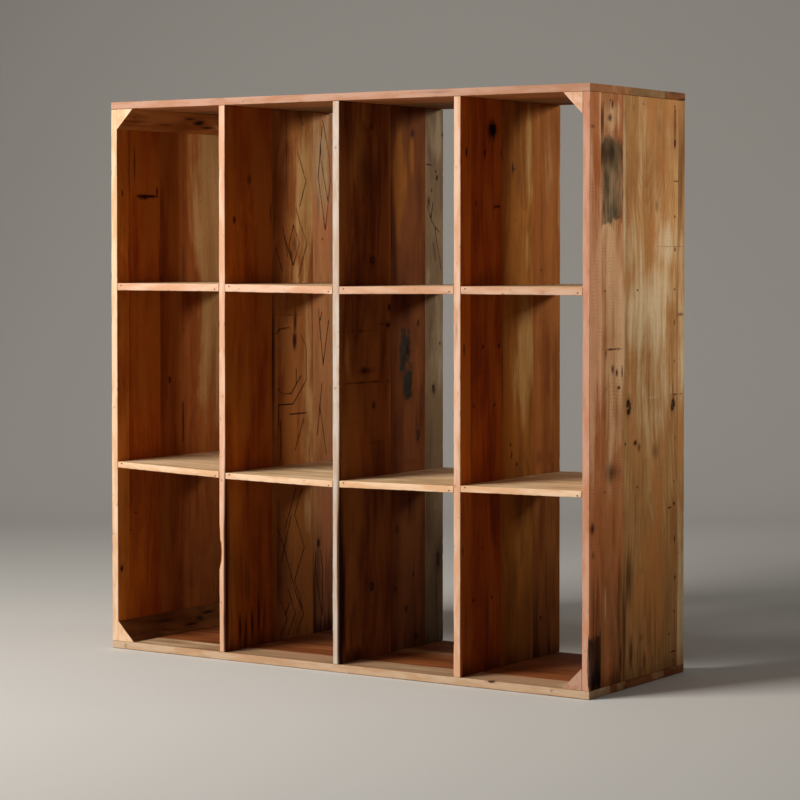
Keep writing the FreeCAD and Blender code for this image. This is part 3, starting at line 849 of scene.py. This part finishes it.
LEVEL_PITCH = 5.5
TOP_BOARDS = (
    (ROSE, {"stains": [(110, 1362, 30, 12, 0.4)]}),
    (MOSSY, {"stains": [(260, 1368, 24, 9, 0.7)]}),
    (TAWNY, {"stains": [(440, 1366, 26, 9, 0.8), (380, 1368, 30, 4, 0.5)]}),
)
BOTTOM_BOARDS = (
    (BUFF, {"knots": [(0, 1117, 9, 8)], "cracks": [(20, 1345, 1371, 1.2)],
            "pales": [(50, 1330, 50, 60, 0.9), (40, 200, 60, 120, 0.6), (50, 900, 40, 90, 0.5)]}),
    (FOXY, {"pales": [(150, 1371, 26, 9, 0.9), (100, 180, 8, 150, 0.8), (101, 560, 7, 130, 0.7),
                      (180, 330, 40, 80, 0.5)]}),
    (FOXY, {"pales": [(330, 1371, 34, 8, 1.0), (270, 700, 40, 160, 0.5)]}),
    (FOXY, {"pales": [(425, 1370, 30, 12, 1.1), (420, 500, 30, 200, 0.4)]}),
)


def arrises(number, last):
    """How round a board's front and back arrises are: worn only at the panel's own edges."""
    return EDGE_ROUND if number == 1 else GLUED_ROUND, EDGE_ROUND if number == last else GLUED_ROUND


for number, (colours, marks) in enumerate(TOP_BOARDS, 1):
    finish = wood(f"top_{number}", colours, PINK_EDGE, (0.05 * number, 1.6), "level")
    old_board(f"top_board_{number}", finish, LEVEL_PITCH, arrises(number, 3), show=-1, **marks)
for number, (colours, marks) in enumerate(BOTTOM_BOARDS, 1):
    finish = wood(f"bottom_{number}", colours, SAND_EDGE, (0.05 * number, 0.2), "level")
    old_board(f"bottom_board_{number}", finish, LEVEL_PITCH, arrises(number, 4), **marks)

# ---------------------------------------------------------------------------------------
# Shelves: eight short lengths of pale bleached board, butted between the uprights. Two of
# them were cut a little short.

BLEACHED = ((0.78, 0.56, 0.34), (0.50, 0.32, 0.16), (0.70, 0.46, 0.25), (0.80, 0.64, 0.43))
ROSY_EDGE = (0.67, 0.415, 0.28)

SHELF_EDGES = {"upper": [SALMON_EDGE, SALMON_EDGE, ROSY_EDGE, ROSY_EDGE], "lower": [CREAM_EDGE] * 4}
CUT_SHORT = {("lower", 1): 1.3, ("lower", 4): 1.3}

for level, edges in SHELF_EDGES.items():
    for column, edge in enumerate(edges, 1):
        for number in range(1, 4):
            finish = wood(f"{level}_shelf_{column}_{number}", BLEACHED, edge, (-0.2 + 0.1 * number, 0.6),
                          "level", rings=0.4, streaks=1.5)
            old_board(f"{level}_shelf_{column}_board_{number}", finish, LEVEL_PITCH, arrises(number, 3),
                      short=CUT_SHORT.get((level, column), 0.3))

# ---------------------------------------------------------------------------------------
# Corner blocks: four triangular fillets, sawn along the grain, glued and nailed into the
# corners where the sides meet the top and the bottom.

BLOCK_ROUND = 0.9
BLOCK_PITCH = 6.0
PEATY = ((0.24, 0.085, 0.020), (0.075, 0.020, 0.004), (0.21, 0.068, 0.012), (0.34, 0.17, 0.05))
SOILED = [(60, 20, 40, 9, 0.6), (170, -18, 50, 10, 0.7), (250, 24, 30, 9, 0.7), (300, 4, 24, 16, 1.0),
          (345, -20, 34, 9, 1.0), (400, 14, 26, 12, 1.0), (440, -8, 12, 22, 0.9)]
# The bottom right block's end is pinker and darker than the left ones: the pinker hue is the wood's own
# colour, the extra darkness is painted shade.
BLOCK_ENDS = {"top_left": CREAM_EDGE, "top_right": SALMON_EDGE, "bottom_left": CREAM_EDGE,
              "bottom_right": PINK_EDGE}


def corner_block(node, finish, right, upper):
    """A triangular fillet in place of its CAD node.

    The square section (a, b) of a box surface is folded to a right triangle by
    (a (1 - b/2), b (1 - a/2)), which lays two of its sides along the sloping face."""
    low, high = (np.array(corner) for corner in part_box(node))
    leg = high[0] - low[0]
    draw = np.random.default_rng(zlib.crc32(node.encode()))
    across = grid_lines(0, leg, BLOCK_PITCH * MM, BLOCK_ROUND * MM)
    depth = grid_lines(low[1], high[1], BLOCK_PITCH * MM, BLOCK_ROUND * MM)
    points, quads = box_surface([across, depth, across])
    sloping = ease(0.985, 1.0, np.maximum(points[:, 0], points[:, 2]) / leg)
    fold = points[:, 0] * points[:, 2] / leg**2
    radius = (BLOCK_ROUND * MM * (1.001 - ease(0.3, 0.9, fold)))[:, None]
    points = rounded(points, np.array([0, low[1], 0]), np.array([leg, high[1], leg]), radius)
    a, b = points[:, 0] / leg, points[:, 2] / leg
    sunk = (0.35 + 0.25 * unevenness(draw, points[:, 1] / MM, 20 * (a - b), 40)) * MM * sloping
    x = leg * a * (1 - b / 2) - sunk / math.sqrt(2)
    z = leg * b * (1 - a / 2) - sunk / math.sqrt(2)
    x, z = np.maximum(x, 0), np.maximum(z, 0)
    points[:, 0] = high[0] - x if right else low[0] + x
    points[:, 2] = high[2] - z if upper else low[2] + z
    piece = new_mesh("worn_" + node, points, quads[:, ::-1] if right != upper else quads)
    field, _ = marked((points[:, 1] - low[1]) / MM, 60 * (a - b), stains=SOILED)
    give_fields(piece, field)
    place_piece(piece, node, finish)


for height, upper in (("top", True), ("bottom", False)):
    for hand, right in (("left", False), ("right", True)):
        corner = f"{height}_{hand}"
        finish = wood(f"block_{corner}", UMBER if upper else PEATY, BLOCK_ENDS[corner], (0.1, 0.3), "deep",
                      streaks=1.8)
        corner_block(f"corner_block_{corner}", finish, right, upper)

# ---------------------------------------------------------------------------------------
# Nails: wire nails, driven flush from outside and, on the skew, through the shelves' front
# edges. They keep their CAD shapes and get a rusted finish.

RUST_GRAIN = 900.0


def rusted_steel():
    """Dark steel mottled with rust by two sizes of noise."""
    material = bpy.data.materials.new("rusted_nail")
    material.use_nodes = True
    tree = material.node_tree
    shader = tree.nodes["Principled BSDF"]
    where = add(tree, "TexCoord").outputs["Object"]
    coarse = grained(where, RUST_GRAIN / 3, RUST_GRAIN / 3, 2.0).outputs["Fac"]
    grit = grained(where, RUST_GRAIN, RUST_GRAIN, 2.0).outputs["Fac"]
    rusty = fade(swing(grit, 0.8, coarse), 0.35, 0.65)
    colour = tinted(rusty, (0.030, 0.024, 0.020, 1), (0.11, 0.040, 0.016, 1))
    bump = add(tree, "Bump", {"Height": grit, "Strength": 0.4, "Distance": 0.1 * MM})
    tree.links.new(colour, shader.inputs["Base Color"])
    tree.links.new(fade(rusty, 0.0, 1.0, 0.45, 0.85), shader.inputs["Roughness"])
    tree.links.new(fade(rusty, 0.0, 1.0, 0.7, 0.1), shader.inputs["Metallic"])
    tree.links.new(bump.outputs["Normal"], shader.inputs["Normal"])
    return material


RUSTED = rusted_steel()
for name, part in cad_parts.items():
    if name.endswith("nails"):
        part.data.materials.clear()
        part.data.materials.append(RUSTED)
